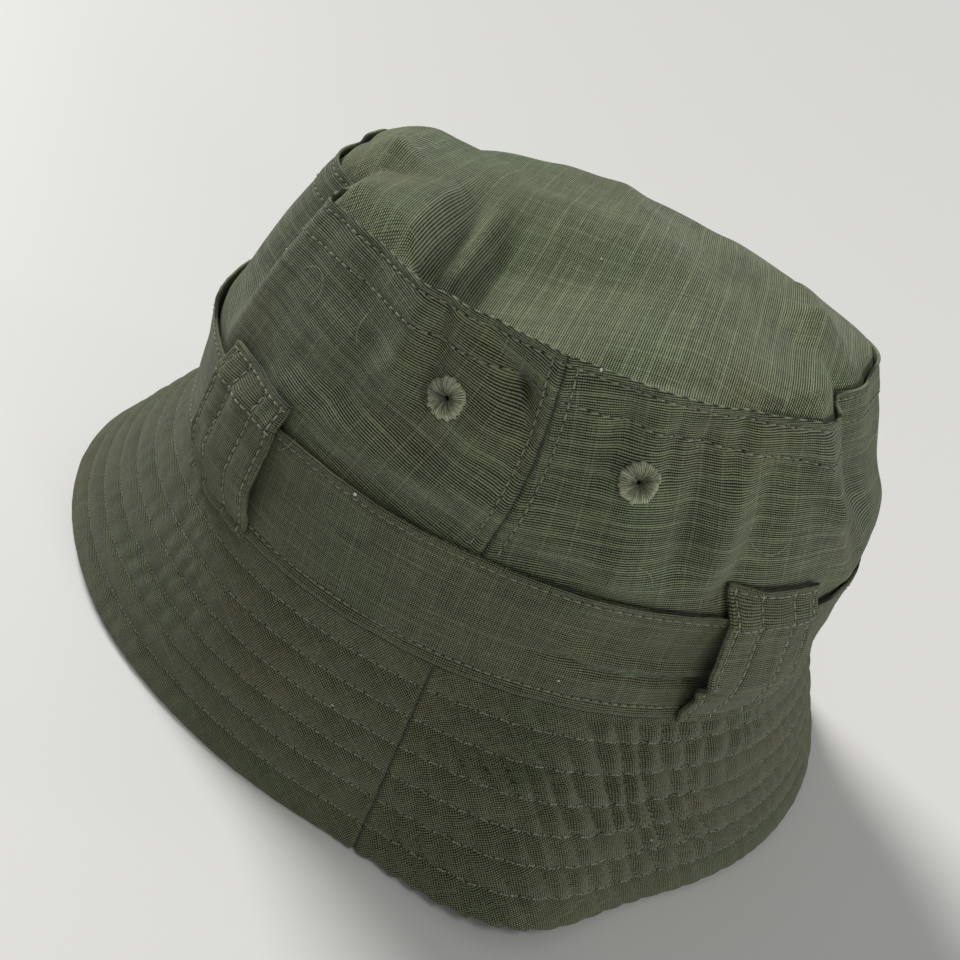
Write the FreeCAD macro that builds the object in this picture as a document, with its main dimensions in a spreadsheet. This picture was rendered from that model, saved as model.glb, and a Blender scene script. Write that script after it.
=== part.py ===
import FreeCAD, Part
import math
import os
import Sketcher

# A soft short-brimmed boonie hat, in millimetres, standing on the edge of its brim.
# Origin: centre of the brim's edge, on the surface the hat stands on.
# +Z is up, -Y is the front of the head and +X is the wearer's left.
# Every cloth ring is an ellipse about Z, given by its half widths across (x) and along (y) the head.

DRIVING = (
    # Brim, from its edge at z = 0 up to the head seam
    ("edge_across", 108.0),
    ("edge_along", 132.0),
    ("seam_height", 54.0),
    ("seam_across", 86.4),
    ("seam_along", 103.5),
    ("brim_ply", 1.1),
    ("hem_depth", 4.0),
    ("hem_height", 1.2),
    # Crown, from the head seam up to the top seam
    ("band_height", 89.5),
    ("band_across", 85.5),
    ("band_along", 100.5),
    ("crown_height", 138.0),
    ("crown_across", 72.0),
    ("crown_along", 79.0),
    ("crown_ply", 1.5),
    ("dome_rise", 5.0),
    # Band, loops and inner pieces
    ("band_ply", 1.0),
    ("loop_width", 31.0),
    ("loop_ply", 1.4),
    ("loop_height", 97.0),
    ("loop_bend", 3.0),
    ("loop_angle", 44.5),
    ("sweatband_height", 30.0),
    ("sweatband_ply", 1.0),
    ("tape_width", 10.0),
    ("tape_ply", 0.8),
    ("binding_height", 7.0),
    ("label_width", 30.0),
    ("label_height", 18.0),
    ("label_lift", 6.0),
    # Sewn eyelets: a ring of thread on each face of the crown, joined through a punched hole
    ("eyelet_angle", 15.6),
    ("eyelet_height", 118.4),
    ("eyelet_radius", 5.0),
    ("eyelet_hole", 0.8),
    ("eyelet_lip", 0.7),
    ("punched_hole", 2.2),
    # Air left between two plies, and between the front and back pieces at a side seam
    ("gap", 0.3),
    ("cutter", 400.0),
)


def make_sheet(document):
    """The spreadsheet of driving dimensions, one aliased cell each."""
    sheet = document.addObject("Spreadsheet::Sheet", "Dims")
    for row, (alias, value) in enumerate(DRIVING, start=1):
        sheet.set(f"A{row}", alias)
        sheet.set(f"B{row}", str(value))
        sheet.setAlias(f"B{row}", alias)
    document.recompute()
    return sheet


doc = FreeCAD.newDocument("boonie_hat")
dims = make_sheet(doc)


def size(alias):
    """A driving dimension's value, for what an expression can't reach."""
    return float(dims.get(alias))


def cell(alias):
    """A driving dimension as an expression."""
    return f"<<Dims>>.{alias}"


def less(expression, amount):
    """An expression with another taken from it."""
    return f"({expression}) - ({amount})"


def more(expression, amount):
    """An expression with another added to it."""
    return f"({expression}) + ({amount})"


# ---------------------------------------------------------------- rings of cloth

def ring(height, across, along):
    """One level of a cloth surface: its height and its two half widths, as expressions."""
    return {"height": height, "across": across, "along": along}


def inset(level, amount):
    """The same level, drawn in by an amount all round."""
    return ring(level["height"], less(level["across"], amount), less(level["along"], amount))


def at_height(level, height):
    """The same half widths at another height."""
    return ring(height, level["across"], level["along"])


def between(low, high, height):
    """The level on the straight slope between two levels, at a height between them."""
    share = f"(({height}) - ({low['height']})) / (({high['height']}) - ({low['height']}))"
    across = f"({low['across']}) + (({high['across']}) - ({low['across']})) * {share}"
    along = f"({low['along']}) + (({high['along']}) - ({low['along']})) * {share}"
    return ring(height, across, along)


EDGE = ring("0", cell("edge_across"), cell("edge_along"))
SEAM = ring(cell("seam_height"), cell("seam_across"), cell("seam_along"))
BAND_TOP = ring(cell("band_height"), cell("band_across"), cell("band_along"))
CROWN_TOP = ring(cell("crown_height"), cell("crown_across"), cell("crown_along"))

# Heights above the head seam start one gap up, so that no ply of the crown meets the brim.
FOOT_HEIGHT = more(cell("seam_height"), cell("gap"))
BAND_FOOT = at_height(SEAM, FOOT_HEIGHT)
UNDER_BAND = more(cell("band_ply"), cell("gap"))
WALL_FOOT = inset(BAND_FOOT, UNDER_BAND)
WALL_BEND = inset(BAND_TOP, UNDER_BAND)


# ---------------------------------------------------------------- sketches and features

def origin_plane(body, role):
    """One of a body's own origin planes."""
    for feature in body.Origin.OriginFeatures:
        if feature.Role == role:
            return feature
    raise RuntimeError(f"{body.Label} has no {role}")


def sketch_on(body, name, role):
    """An empty sketch on one of a body's origin planes."""
    sketch = body.newObject("Sketcher::SketchObject", name)
    sketch.AttachmentSupport = (origin_plane(body, role), [""])
    sketch.MapMode = "FlatFace"
    return sketch


def named_distance(sketch, kind, name, expression, *where):
    """A dimension in a sketch, with a name, bound to an expression."""
    value = float(sketch.evalExpression(expression))
    index = sketch.addConstraint(Sketcher.Constraint(kind, *where, value))
    sketch.renameConstraint(index, name)
    sketch.setExpression(f".Constraints.{name}", expression)


def ellipse_sketch(body, name, level):
    """A horizontal ellipse, its long axis along Y, at the level's height."""
    sketch = sketch_on(body, name, "XY_Plane")
    sketch.setExpression(".AttachmentOffset.Base.z", level["height"])
    along = float(sketch.evalExpression(level["along"]))
    across = float(sketch.evalExpression(level["across"]))
    centre = FreeCAD.Vector(0, 0, 0)
    front = FreeCAD.Vector(0, along, 0)
    side = FreeCAD.Vector(-across, 0, 0)
    ellipse = sketch.addGeometry(Part.Ellipse(front, side, centre), False)
    long_axis = sketch.addGeometry(Part.LineSegment(-front, front), True)
    short_axis = sketch.addGeometry(Part.LineSegment(-side, side), True)
    align = "InternalAlignment:Ellipse"
    sketch.addConstraint(Sketcher.Constraint(align + "MajorDiameter", long_axis, ellipse))
    sketch.addConstraint(Sketcher.Constraint(align + "MinorDiameter", short_axis, ellipse))
    sketch.addConstraint(Sketcher.Constraint("Coincident", ellipse, 3, -1, 1))
    sketch.addConstraint(Sketcher.Constraint("Vertical", long_axis))
    named_distance(sketch, "Distance", "along", f"2 * ({level['along']})", long_axis)
    named_distance(sketch, "Distance", "across", f"2 * ({level['across']})", short_axis)
    return sketch


def polygon_sketch(body, name, role, corners):
    """A closed outline of straight sides. Each corner is a pair of expressions."""
    sketch = sketch_on(body, name, role)
    points = []
    for first, second in corners:
        place = (float(sketch.evalExpression(first)), float(sketch.evalExpression(second)))
        points.append(FreeCAD.Vector(place[0], place[1], 0))
    count = len(points)
    for index in range(count):
        sketch.addGeometry(Part.LineSegment(points[index], points[(index + 1) % count]), False)
    for index in range(count):
        following = (index + 1) % count
        sketch.addConstraint(Sketcher.Constraint("Coincident", index, 2, following, 1))
    for index, (first, second) in enumerate(corners):
        named_distance(sketch, "DistanceX", f"corner{index}_first", first, -1, 1, index, 1)
        named_distance(sketch, "DistanceY", f"corner{index}_second", second, -1, 1, index, 1)
    return sketch


def loft(body, name, kind, levels):
    """A straight-sided loft, additive or subtractive, up through two or more levels."""
    sketches = []
    for index, level in enumerate(levels):
        sketches.append(ellipse_sketch(body, f"{name}_level_{index}", level))
    feature = body.newObject(kind, name)
    feature.Profile = (sketches[0], [""])
    feature.Sections = [(sketch, [""]) for sketch in sketches[1:]]
    feature.Ruled = True
    return feature


def new_body(name):
    """A named body."""
    body = doc.addObject("PartDesign::Body", name)
    body.Label = name
    return body


def cloth_ring(name, outer, ply):
    """A body with the outer levels given, hollowed by a ply's thickness."""
    body = new_body(name)
    loft(body, f"{name}_outside", "PartDesign::AdditiveLoft", outer)
    inner = [inset(level, ply) for level in outer]
    loft(body, f"{name}_inside", "PartDesign::SubtractiveLoft", inner)
    return body


def keep_front(body):
    """Cut a ring at the two side seams and keep its front half."""
    reach = cell("cutter")
    seam = f"-1 * {cell('gap')} / 2"
    corners = ((f"-1 * {reach}", seam), (reach, seam), (reach, reach), (f"-1 * {reach}", reach))
    outline = polygon_sketch(body, f"{body.Name}_back_half", "XY_Plane", corners)
    cut = body.newObject("PartDesign::Pocket", f"{body.Name}_side_cut")
    cut.Profile = outline
    cut.Type = "ThroughAll"
    cut.Midplane = True
    return cut


def back_of(front_piece):
    """The back piece of the hat that matches a front one, mirrored across the side seams."""
    name = front_piece.Label.replace("front", "back")
    mirrored = doc.addObject("Part::Mirroring", name)
    mirrored.Source = front_piece
    mirrored.Normal = FreeCAD.Vector(0, 1, 0)
    mirrored.Label = name
    return mirrored


# ---------------------------------------------------------------- brim

def brim_levels(depth, foot_height):
    """The brim's slope, drawn in by a depth, from a foot height up to the head seam."""
    foot = between(EDGE, SEAM, foot_height)
    return [inset(foot, depth), inset(SEAM, depth)]


def make_brim_upper():
    """The outside ply of the brim's front half, turned under along the edge as a flat hem."""
    body = new_body("brim_upper_front")
    name = body.Name
    loft(body, f"{name}_outside", "PartDesign::AdditiveLoft", brim_levels("0", "0"))
    hem_top = cell("hem_height")
    above = [inset(between(EDGE, SEAM, hem_top), cell("brim_ply")), inset(SEAM, cell("brim_ply"))]
    loft(body, f"{name}_inside", "PartDesign::SubtractiveLoft", above)
    through = [inset(EDGE, cell("hem_depth")), at_height(inset(EDGE, cell("hem_depth")), hem_top)]
    loft(body, f"{name}_hem_mouth", "PartDesign::SubtractiveLoft", through)
    keep_front(body)
    return body


def make_brim_ply(kind, depth):
    """An inner ply of the brim's front half, standing just above the hem."""
    foot_height = more(cell("hem_height"), cell("gap"))
    body = cloth_ring(f"brim_{kind}_front", brim_levels(depth, foot_height), cell("brim_ply"))
    keep_front(body)
    return body


PLY_STEP = more(cell("brim_ply"), cell("gap"))


# ---------------------------------------------------------------- crown

def wall_half_widths(height):
    """The crown's outside half widths at a height above the band's top edge, as numbers."""
    under = size("band_ply") + size("gap")
    share = (height - size("band_height")) / (size("crown_height") - size("band_height"))
    low = (size("band_across") - under, size("band_along") - under)
    high = (size("crown_across"), size("crown_along"))
    return tuple(a + (b - a) * share for a, b in zip(low, high))


def eyelet_place(angle, outward=0.0):
    """Where an eyelet sits on the crown, its Z axis along the cloth's outward normal."""
    height = size("eyelet_height")
    across, along = wall_half_widths(height)
    higher = wall_half_widths(height + 1.0)
    turn = math.radians(angle)
    spot = FreeCAD.Vector(across * math.cos(turn), along * math.sin(turn), height)
    upward = FreeCAD.Vector(higher[0] * math.cos(turn), higher[1] * math.sin(turn), height + 1.0)
    round_wall = FreeCAD.Vector(-across * math.sin(turn), along * math.cos(turn), 0)
    normal = round_wall.cross(upward - spot)
    normal.normalize()
    turned = FreeCAD.Rotation(FreeCAD.Vector(0, 0, 1), normal)
    return FreeCAD.Placement(spot + normal * outward, turned)


# Each eyelet's side of the hat, as a bearing from +X, and which way it lies from the side seam.
EYELETS = {
    "eyelet_left_front": (0, -1),
    "eyelet_left_back": (0, 1),
    "eyelet_right_front": (180, 1),
    "eyelet_right_back": (180, -1),
}


def eyelet_turn(name):
    """The angle round the crown, from +X, at which an eyelet sits."""
    side, sense = EYELETS[name]
    return side + sense * size("eyelet_angle")


def punch_hole(body, name):
    """The hole in the crown under one eyelet, cut inwards from just outside the cloth."""
    clearance = size("crown_ply")
    sketch = sketch_on(body, f"{body.Name}_{name}_hole", "XY_Plane")
    sketch.AttachmentOffset = eyelet_place(eyelet_turn(name), clearance)
    circle = Part.Circle(FreeCAD.Vector(0, 0, 0), FreeCAD.Vector(0, 0, 1), size("punched_hole"))
    sketch.addGeometry(circle, False)
    sketch.addConstraint(Sketcher.Constraint("Coincident", 0, 3, -1, 1))
    named_distance(sketch, "Radius", "hole", cell("punched_hole"), 0)
    cut = body.newObject("PartDesign::Pocket", f"{body.Name}_{name}_punched")
    cut.Profile = sketch
    cut.setExpression(".Length", f"4 * {cell('crown_ply')}")
    return cut


def make_crown_wall():
    """The front half of the crown's wall, from head seam to top seam, with two punched holes."""
    levels = [WALL_FOOT, WALL_BEND, CROWN_TOP]
    body = cloth_ring("crown_wall_front", levels, cell("crown_ply"))
    keep_front(body)
    punch_hole(body, "eyelet_left_front")
    punch_hole(body, "eyelet_right_front")
    return body


def make_eyelet(name):
    """A sewn eyelet: a thin disc of thread outside and inside, and a barrel between them."""
    body = new_body(name)
    outer_face = f"{cell('gap')} / 2"
    outer_top = more(outer_face, cell("eyelet_lip"))
    inner_face = f"-1 * ({cell('crown_ply')} + {cell('gap')} / 2)"
    inner_top = less(inner_face, cell("eyelet_lip"))
    barrel = less(cell("punched_hole"), cell("gap"))
    bore = cell("eyelet_hole")
    rim = cell("eyelet_radius")
    corners = (
        (bore, inner_top), (rim, inner_top), (rim, inner_face), (barrel, inner_face),
        (barrel, outer_face), (rim, outer_face), (rim, outer_top), (bore, outer_top),
    )
    profile = polygon_sketch(body, f"{name}_profile", "XZ_Plane", corners)
    turned = body.newObject("PartDesign::Revolution", f"{name}_turned")
    turned.Profile = profile
    turned.ReferenceAxis = (profile, ["V_Axis"])
    turned.Angle = 360.0
    body.Placement = eyelet_place(eyelet_turn(name))
    return body


def ellipsoid(name, rise, across, along):
    """The upper half of an ellipsoid, sitting on the top seam's level."""
    dome = doc.addObject("Part::Ellipsoid", name)
    dome.setExpression(".Radius1", rise)
    dome.setExpression(".Radius2", across)
    dome.setExpression(".Radius3", along)
    dome.Angle1 = 0.0
    dome.setExpression(".Placement.Base.z", more(cell("crown_height"), cell("gap")))
    return dome


def make_crown_top():
    """The oval top panel: a shallow dome of one ply, its rim level with the wall's top edge."""
    ply = cell("crown_ply")
    whole = ellipsoid("crown_top_outside", cell("dome_rise"), cell("crown_across"),
                      cell("crown_along"))
    hollow = ellipsoid("crown_top_inside", less(cell("dome_rise"), ply),
                       less(cell("crown_across"), ply), less(cell("crown_along"), ply))
    top = doc.addObject("Part::Cut", "crown_top")
    top.Base = whole
    top.Tool = hollow
    top.Label = "crown_top"
    return top


# ---------------------------------------------------------------- pieces cut from a ring of cloth

def window(name, middle_angle, width, low, high):
    """An upright box reaching out from the axis at an angle, as wide as the piece it keeps."""
    box = doc.addObject("Part::Box", name)
    box.setExpression(".Length", cell("cutter"))
    box.setExpression(".Width", width)
    box.setExpression(".Height", less(high, low))
    turn = math.radians(middle_angle)
    half_width = float(box.evalExpression(width)) / 2
    sideways = FreeCAD.Vector(math.sin(turn), -math.cos(turn), 0) * half_width
    corner = sideways + FreeCAD.Vector(0, 0, float(box.evalExpression(low)))
    box.Placement = FreeCAD.Placement(corner, FreeCAD.Rotation(FreeCAD.Vector(0, 0, 1), middle_angle))
    return box


def piece_of_ring(name, ring_body, middle_angle, width, low, high):
    """The part of a cloth ring inside an upright window."""
    doc.recompute()
    kept = doc.addObject("Part::Common", name)
    kept.Base = ring_body
    kept.Tool = window(f"{name}_window", middle_angle, width, low, high)
    kept.Label = name
    return kept


# Each loop's side and sense, as for the eyelets.
LOOPS = {
    "band_loop_left_front": (0, -1),
    "band_loop_left_back": (0, 1),
    "band_loop_right_front": (180, 1),
    "band_loop_right_back": (180, -1),
}


def make_loops():
    """Four cloth loops over the band, each bent in over its top edge onto the crown."""
    over_band = f"-1 * ({cell('gap')} + {cell('loop_ply')})"
    bend_height = more(cell("band_height"), cell("loop_bend"))
    levels = [
        inset(BAND_FOOT, over_band),
        inset(at_height(BAND_TOP, more(cell("band_height"), cell("gap"))), over_band),
        inset(between(WALL_BEND, CROWN_TOP, bend_height), over_band),
        inset(between(WALL_BEND, CROWN_TOP, cell("loop_height")), over_band),
    ]
    ring_body = cloth_ring("loop_ring", levels, cell("loop_ply"))
    loops = []
    for name, (side, sense) in LOOPS.items():
        middle = math.radians(sense * size("loop_angle"))
        across = size("band_across") * math.cos(middle)
        along = size("band_along") * math.sin(middle)
        bearing = side + math.degrees(math.atan2(along, across))
        width = cell("loop_width")
        loops.append(piece_of_ring(name, ring_body, bearing, width, "0", cell("loop_height")))
    return loops


def make_band():
    """The band: one strip round the foot of the crown."""
    return cloth_ring("hat_band", [BAND_FOOT, BAND_TOP], cell("band_ply"))


# ---------------------------------------------------------------- inside the crown

INSIDE_WALL = more(cell("crown_ply"), cell("gap"))
SWEATBAND_TOP = more(cell("seam_height"), cell("sweatband_height"))


def inside(level):
    """A level of the crown's outside drawn in to just inside its cloth."""
    return inset(level, INSIDE_WALL)


def make_sweatband():
    """The sweatband: a ring of cloth lining the foot of the crown."""
    top = between(WALL_FOOT, WALL_BEND, SWEATBAND_TOP)
    return cloth_ring("sweatband", [inside(WALL_FOOT), inside(top)], cell("sweatband_ply"))


def make_seam_tapes():
    """Tape over the inside of each side seam, from the sweatband to the top binding."""
    low = between(WALL_FOOT, WALL_BEND, more(SWEATBAND_TOP, cell("gap")))
    high_at = less(cell("crown_height"), more(cell("binding_height"), cell("gap")))
    high = between(WALL_BEND, CROWN_TOP, high_at)
    levels = [inside(low), inside(WALL_BEND), inside(high)]
    ring_body = cloth_ring("tape_ring", levels, cell("tape_ply"))
    width = cell("tape_width")
    height = cell("crown_height")
    left = piece_of_ring("side_seam_tape_left", ring_body, 0.0, width, "0", height)
    right = piece_of_ring("side_seam_tape_right", ring_body, 180.0, width, "0", height)
    return [left, right]


def make_top_binding():
    """The binding tape round the inside of the top seam."""
    low = between(WALL_BEND, CROWN_TOP, less(cell("crown_height"), cell("binding_height")))
    high = between(WALL_BEND, CROWN_TOP, less(cell("crown_height"), cell("gap")))
    return cloth_ring("top_seam_binding", [inside(low), inside(high)], cell("tape_ply"))


def make_label():
    """A blank sewn-in label on the inside of the sweatband, at the back of the head."""
    inside_sweatband = more(cell("sweatband_ply"), cell("gap"))
    low_at = more(cell("seam_height"), cell("label_lift"))
    high_at = more(low_at, cell("label_height"))
    low = inset(inside(between(WALL_FOOT, WALL_BEND, low_at)), inside_sweatband)
    high = inset(inside(between(WALL_FOOT, WALL_BEND, high_at)), inside_sweatband)
    ring_body = cloth_ring("label_ring", [low, high], cell("tape_ply"))
    width = cell("label_width")
    return piece_of_ring("inner_label", ring_body, 90.0, width, "0", cell("crown_height"))


# ---------------------------------------------------------------- the hat

def make_hat():
    """Every sub-part of the hat, from the brim up."""
    fronts = [
        make_brim_upper(),
        make_brim_ply("interlining", PLY_STEP),
        make_brim_ply("lower", f"2 * ({PLY_STEP})"),
        make_crown_wall(),
    ]
    pieces = fronts + [back_of(piece) for piece in fronts]
    pieces.append(make_crown_top())
    pieces.append(make_band())
    pieces.extend(make_loops())
    pieces.extend(make_eyelet(name) for name in EYELETS)
    pieces.append(make_sweatband())
    pieces.extend(make_seam_tapes())
    pieces.append(make_top_binding())
    pieces.append(make_label())
    return pieces


def check(pieces):
    """Stop if any object failed to build, or any sub-part isn't one sound solid."""
    for item in doc.Objects:
        if "Invalid" in item.State or "Error" in item.State:
            raise RuntimeError(f"{item.Label} failed: {item.State}")
    for piece in pieces:
        shape = piece.Shape
        if shape.isNull() or not shape.isValid() or len(shape.Solids) != 1:
            raise RuntimeError(f"{piece.Label} isn't one valid solid")


hat = make_hat()
doc.recompute()
check(hat)
os.makedirs("parts", exist_ok=True)
for piece in hat:
    piece.Shape.exportStep(f"parts/{piece.Label}.step")
    box = piece.Shape.BoundBox
    print(f"{piece.Label}: {piece.Shape.Volume:.0f} mm3, z {box.ZMin:.2f} to {box.ZMax:.2f}")
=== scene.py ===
"""A soft olive boonie hat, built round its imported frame.

Lengths are millimetres and turns are degrees until make_mesh() writes metres.
A turn of 0 is the wearer's left side seam (+X), 90 the back (+Y) and -90 the front.
"""
from math import cos, pi, radians, sin

import bmesh
import bpy
import numpy as np
from mathutils import Euler, Matrix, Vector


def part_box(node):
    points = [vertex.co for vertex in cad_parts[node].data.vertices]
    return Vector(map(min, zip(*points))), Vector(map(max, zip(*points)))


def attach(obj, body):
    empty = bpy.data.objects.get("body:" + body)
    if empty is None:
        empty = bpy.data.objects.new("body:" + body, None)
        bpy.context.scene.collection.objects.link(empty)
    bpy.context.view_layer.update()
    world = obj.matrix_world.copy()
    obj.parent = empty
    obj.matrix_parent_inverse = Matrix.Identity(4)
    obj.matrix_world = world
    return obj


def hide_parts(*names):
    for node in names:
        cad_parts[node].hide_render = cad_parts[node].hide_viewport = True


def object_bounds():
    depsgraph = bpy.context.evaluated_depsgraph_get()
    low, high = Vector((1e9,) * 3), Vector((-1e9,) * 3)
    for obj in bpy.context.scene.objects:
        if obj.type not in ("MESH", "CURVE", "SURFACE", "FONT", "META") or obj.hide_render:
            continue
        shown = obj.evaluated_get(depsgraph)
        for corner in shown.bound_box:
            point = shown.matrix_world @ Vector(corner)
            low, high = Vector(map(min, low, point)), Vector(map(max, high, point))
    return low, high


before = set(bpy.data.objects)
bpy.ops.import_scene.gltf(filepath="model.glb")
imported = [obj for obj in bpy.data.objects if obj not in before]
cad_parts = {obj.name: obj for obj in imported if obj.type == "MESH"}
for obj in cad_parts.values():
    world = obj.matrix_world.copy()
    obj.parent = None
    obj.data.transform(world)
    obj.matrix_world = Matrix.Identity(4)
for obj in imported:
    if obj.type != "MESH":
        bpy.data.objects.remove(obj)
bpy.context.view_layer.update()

SCENE = bpy.context.scene
MM = 0.001


def box_mm(node):
    """A frame node's lowest and highest corner, in millimetres."""
    low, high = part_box(node)
    return np.array(low) / MM, np.array(high) / MM


# ---- sizes read from the frame

brim_high = box_mm("brim_upper_front")[1]
band_high = box_mm("hat_band")[1]
top_high = box_mm("crown_top")[1]
wall_high = box_mm("crown_wall_front")[1]
loop_low, loop_high = box_mm("band_loop_left_back")

SEAM_Z = brim_high[2]
BAND_Z = band_high[2]
CROWN_Z = wall_high[2]
LOOP_FOOT = loop_low[2]
LOOP_TOP = loop_high[2] - 0.3
SEAM = (band_high[0], band_high[1])
CROWN = (top_high[0], top_high[1])
UNDER_BAND = SEAM[0] - wall_high[0]
BAND_LEAN = (0.9, 3.0)  # how far the band draws in from its foot to its top edge
BUCKLE_Z = 70.5  # where the slack band buckles
BRIM_WIDTH = 58.0
BRIM_ROWS = (7.6, 16.4, 25.0, 33.2, 41.4, 49.6)
WALL_ROWS = (2.0, 9.3)  # rows of stitches below the crown's top edge
SIDE_ROW = 3.2  # rows of stitches either side of a side seam
BAND_ROWS = (SEAM_Z + 3.6, BAND_Z - 2.1)
EYELET_TURNS = {"left_front": -15.0, "left_back": 15.6, "right_front": -164.4, "right_back": 164.4}
EYELET_Z = 118.4
LOOP_TURNS = {"left_front": -42.8, "left_back": 46.0, "right_front": -136.0, "right_back": 136.0}
LOOP_WIDTH = 31.0
LOOP_ROWS = (-13.2, -5.6, 5.6, 13.2)
LOOP_LEVELS = (1.6, 8.4)  # level rows of stitches below a loop's top
# Heights above a loop's foot, and how far it bows off the band there.
LOOP_BOW = ((0, 5, 10, 16, 22, 29, 36, 43), (0.4, 1.6, 3.4, 4.4, 3.8, 2.0, 0.9, 0.5))

CLOTH = 0.8  # one ply
LOOP_PLY = 1.2  # a loop, folded double
LAYER = 1.2  # from one ply of the brim to the next
ARC_STEP = 1.15  # grid spacing round the hat
RISE_STEP = 0.9  # grid spacing up the hat
TURN_MM = 1.55  # millimetres round the crown for each degree


# ---- shape helpers

def bump(x, centre, width):
    """A bell of height 1."""
    return np.exp(-0.5 * ((x - centre) / width) ** 2)


def smooth(x, low, high):
    """0 below low, 1 above high, and a smooth step between."""
    u = np.clip((x - low) / (high - low), 0.0, 1.0)
    return u * u * (3.0 - 2.0 * u)


def bell(turn, centre, width):
    """A bell round a turn, measured the short way round."""
    return bump((turn - centre + 180.0) % 360.0 - 180.0, 0.0, width)


def lattice(i, j, seed):
    """A repeatable random value from 0 to 1 for a pair of whole numbers."""
    mixed = np.sin(i * 127.1 + j * 311.7 + seed * 74.7) * 43758.5453
    return mixed - np.floor(mixed)


def noise(u, v, seed=0, period=1e9):
    """Smooth noise from -1 to 1, repeating in u after a period."""
    i = np.floor(u)
    j = np.floor(v)
    fu = u - i
    fv = v - j
    fu = fu * fu * (3.0 - 2.0 * fu)
    fv = fv * fv * (3.0 - 2.0 * fv)
    here = np.mod(i, period)
    beside = np.mod(i + 1, period)
    low = lattice(here, j, seed) * (1 - fu) + lattice(beside, j, seed) * fu
    high = lattice(here, j + 1, seed) * (1 - fu) + lattice(beside, j + 1, seed) * fu
    return 2.0 * (low * (1 - fv) + high * fv) - 1.0


def round_noise(turn, size, v, seed):
    """Noise that joins up round the hat, its features about a size across."""
    count = round(360.0 * TURN_MM / size)
    return noise(turn * count / 360.0, v, seed, count)


def creases(u, v, folds):
    """Ridges and valleys along lines: each (u0, v0, u1, v1, width, height)."""
    total = np.zeros_like(u)
    for u0, v0, u1, v1, width, height in folds:
        du = u1 - u0
        dv = v1 - v0
        along = ((u - u0) * du + (v - v0) * dv) / (du * du + dv * dv)
        along = np.clip(along, 0.0, 1.0)
        away = np.hypot(u - u0 - along * du, v - v0 - along * dv)
        total += height * np.exp(-np.abs(away / width) ** 1.7)
    return total


def unit(vectors):
    """Vectors made 1 long."""
    return vectors / np.linalg.norm(vectors, axis=-1, keepdims=True)


def oval(widths, turn):
    """Points of an oval, as x and y."""
    angle = np.radians(turn)
    return widths[0] * np.cos(angle), widths[1] * np.sin(angle)


def oval_outward(widths, turn):
    """The level outward direction of an oval, as x and y."""
    angle = np.radians(turn)
    x = np.cos(angle) / widths[0]
    y = np.sin(angle) / widths[1]
    length = np.hypot(x, y)
    return x / length, y / length


def off_oval(widths, turn, out):
    """Points a distance outside an oval, as x and y."""
    x, y = oval(widths, turn)
    out_x, out_y = oval_outward(widths, turn)
    return x + out * out_x, y + out * out_y


FINE_TURNS = np.linspace(-180.0, 180.0, 3601)


def arc_table(widths):
    """Distance round an oval from turn 0, at each of FINE_TURNS."""
    x, y = oval(widths, FINE_TURNS)
    lengths = np.concatenate(([0.0], np.cumsum(np.hypot(np.diff(x), np.diff(y)))))
    return lengths - np.interp(0.0, FINE_TURNS, lengths)


SEAM_ARC = arc_table(SEAM)
WALL_ARC = arc_table(((SEAM[0] + CROWN[0]) / 2, (SEAM[1] + CROWN[1]) / 2))


def arc_at(turn, table):
    """Distance round from turn 0, at a turn from -180 to 180."""
    return np.interp(turn, FINE_TURNS, table)


# ---- the hat's surfaces

# Folds of the crown wall: turn, share of the wall's rise, to the same, then width and height.
WALL_FOLDS = (
    (-12.5, 0.94, -5.5, 0.76, 3.6, -3.2), (-5.5, 0.76, -2, 0.58, 3.2, -2.6),
    (-8, 0.6, -9, 0.4, 5, 1.4), (-21.5, 1.0, -17.7, 0.52, 3, -2.3),
    (-25.5, 0.98, -24, 0.6, 4, 1.2), (20.5, 0.92, 20, 0.66, 3, -1.8),
    (12, 0.8, 10, 0.55, 3.5, -1.5), (33, 0.95, 32.5, 0.7, 3.5, -1.8),
    (-30, 0.6, -31, 0.2, 5, -1.3), (97, 0.66, 99, 0.12, 13, 3.8),
    (-55.5, 1.0, -56, 0.08, 6, 2.6), (-71, 1.02, -69, 0.35, 11, -7.5),
    (-38, 1.02, -37, 0.8, 11, -2.6), (-0.5, 1.02, -0.5, 0.9, 4.5, 2.6),
    (10, 1.02, 12, 0.82, 8, -2.4), (34, 1.02, 32, 0.85, 13, -2.4),
    (51.5, 0.8, 56.5, 0.55, 5.5, 2.6), (49, 1.0, 52, 0.85, 5, 0.8),
    (56.5, 0.55, 66, 0.05, 5.5, 2.6), (68, 1.02, 75, 0.5, 12, -8.5),
    (84, 1.02, 90, 0.7, 13, -3.4), (72, 0.2, 96, 0.18, 8, 4.2),
    (14, 0.6, 18, 0.12, 7, 1.2), (25.5, 0.84, 26.5, 0.25, 6, -2.8),
    (33.5, 0.8, 33, 0.2, 5, 1.4), (41, 0.7, 37, 0.12, 6, -2.8),
    (-40, 0.14, -2, 0.24, 5, 1.3), (-38, 0.32, 2, 0.42, 5, -1.4),
    (5, 0.2, 24, 0.1, 5, 1), (-30, 0.02, 10, 0.04, 4, -1.2),
    (120, 1.0, 112, 0.3, 8, -3.5), (150, 1.0, 158, 0.35, 8, 2.2),
    (178, 0.95, 170, 0.3, 8, -2.6), (200, 1.0, 206, 0.2, 7, 2),
    (226, 1.0, 218, 0.35, 9, -3.8), (250, 1.0, 254, 0.25, 7, 2),
    (268, 1.0, 262, 0.4, 9, -3), (135, 0.16, 165, 0.24, 5, 1.2),
    (195, 0.25, 225, 0.12, 5, -1.2), (232, 0.15, 262, 0.24, 5, 1.1),
)


def crown_rise(z):
    """A height as a share of the way from the band's top edge to the crown's."""
    return (z - BAND_Z) / (CROWN_Z - BAND_Z)


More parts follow.
